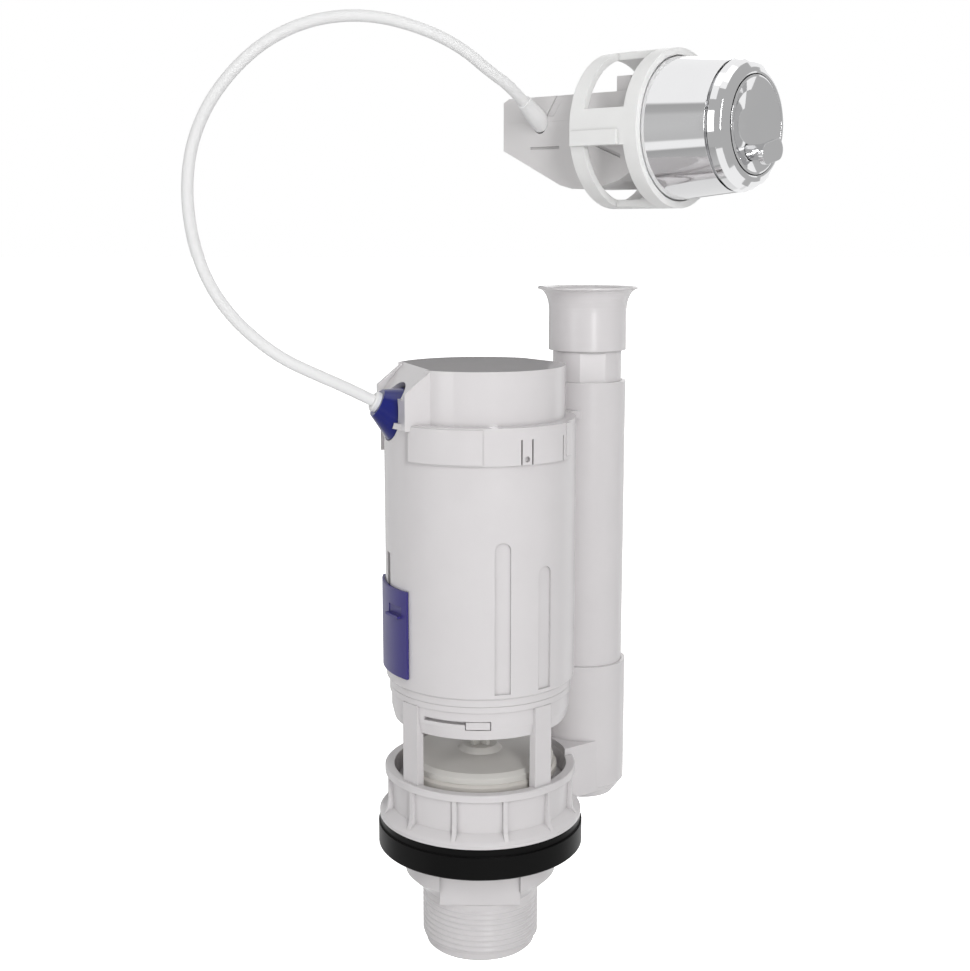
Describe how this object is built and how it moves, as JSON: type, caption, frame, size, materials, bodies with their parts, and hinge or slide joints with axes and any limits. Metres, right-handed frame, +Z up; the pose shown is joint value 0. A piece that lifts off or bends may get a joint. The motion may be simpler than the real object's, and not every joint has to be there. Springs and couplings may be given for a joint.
{
  "type": "dual flush valve",
  "caption": "Cistern outlet valve with a two-part chrome push button on a cable, a float tower and an overflow pipe.",
  "frame": {"origin": "centre of the face that the seat washer presses on the cistern floor", "axes": "+Z up along the valve's axis, +X to the overflow pipe's side and the button, +Y to the back"},
  "size_m": [0.2321, 0.1224, 0.3762],
  "materials": {
    "abs_grey": "moulded",
    "abs_cap": "moulded",
    "rubber_black": "moulded",
    "seal_pale": "moulded silicone",
    "blue_plastic": "moulded",
    "white_sheath": "extruded",
    "milky_white": "moulded, slightly clear",
    "chrome": "polished plating",
    "box_grey": "moulded",
    "steel": "drawn wire",
    "inner_white": "moulded"
  },
  "bodies": {
    "valve": {"outlet_base": "abs_grey", "seat_washer": "rubber_black", "overflow_tube": "abs_grey", "tower_housing": "abs_grey", "head_cap": "abs_cap", "pulley_pin": "steel", "cable_gland": "blue_plastic", "tower_ferrule": "white_sheath", "cable_sheath": "white_sheath", "button_ferrule": "white_sheath", "chrome_sleeve": "chrome", "chrome_bezel": "chrome", "button_guide": "milky_white", "fixing_cage": "milky_white", "actuator_cover": "box_grey", "actuator_base": "box_grey", "lever_axle": "steel", "full_spring": "steel", "half_spring": "steel"},
    "spindle": {"valve_spindle": "inner_white", "disc_washer": "seal_pale", "disc_retainer": "inner_white"},
    "pulley": {"cable_pulley": "inner_white"},
    "slider": {"flush_adjuster": "blue_plastic"},
    "half_cup": {"half_float": "inner_white"},
    "full_cup": {"full_float": "inner_white"},
    "funnel": {"overflow_funnel": "abs_grey"},
    "large_button": {"full_button": "chrome"},
    "small_button": {"half_button": "chrome"},
    "large_lever": {"full_lever": "inner_white"},
    "small_lever": {"half_lever": "inner_white"}
  },
  "joints": [
    {"name": "full_flush_press", "type": "slide", "parent": "valve", "child": "large_button", "axis": [-0.7604, 0.6494, 0], "range_m": [0, 0.006], "stiffness_N_per_m": 300, "springref_m": -0.004, "deforming": ["full_spring"]},
    {"name": "half_flush_press", "type": "slide", "parent": "valve", "child": "small_button", "axis": [-0.7604, 0.6494, 0], "range_m": [0, 0.006], "stiffness_N_per_m": 250, "springref_m": -0.004, "deforming": ["half_spring"]},
    {"name": "full_lever_tilt", "type": "hinge", "parent": "valve", "child": "large_lever", "pos_m": [0.0667, 0.02909, 0.2846], "axis": [-0.6494, -0.7604, 0], "range_deg": [0, 31.26]},
    {"name": "half_lever_tilt", "type": "hinge", "parent": "valve", "child": "small_lever", "pos_m": [0.0667, 0.02909, 0.2846], "axis": [-0.6494, -0.7604, 0], "range_deg": [0, 31.26]},
    {"name": "spindle_lift", "type": "slide", "parent": "valve", "child": "spindle", "axis": [0, 0, 1], "range_m": [0, 0.014]},
    {"name": "pulley_turn", "type": "hinge", "parent": "valve", "child": "pulley", "pos_m": [-0.00756, -0.00261, 0.178], "axis": [0.3256, -0.9455, 0], "range_deg": [0, 100.28]},
    {"name": "adjuster_slide", "type": "slide", "parent": "valve", "child": "slider", "axis": [0, 0, 1], "range_m": [-0.006, 0.024]},
    {"name": "half_float_rise", "type": "slide", "parent": "slider", "child": "half_cup", "axis": [0, 0, 1], "range_m": [0, 0.004]},
    {"name": "full_float_rise", "type": "slide", "parent": "valve", "child": "full_cup", "axis": [0, 0, 1], "range_m": [0, 0.004]},
    {"name": "funnel_slide", "type": "slide", "parent": "valve", "child": "funnel", "axis": [0, 0, 1], "range_m": [-0.012, 0.03]}
  ],
  "couplings": [
    {"joint": "full_lever_tilt", "follows": "full_flush_press", "rad_per_m": 90.909},
    {"joint": "half_lever_tilt", "follows": "half_flush_press", "rad_per_m": 90.909},
    {"joint": "spindle_lift", "follows": "full_flush_press", "ratio": 2.3333},
    {"joint": "pulley_turn", "follows": "full_flush_press", "rad_per_m": 291.67}
  ]
}
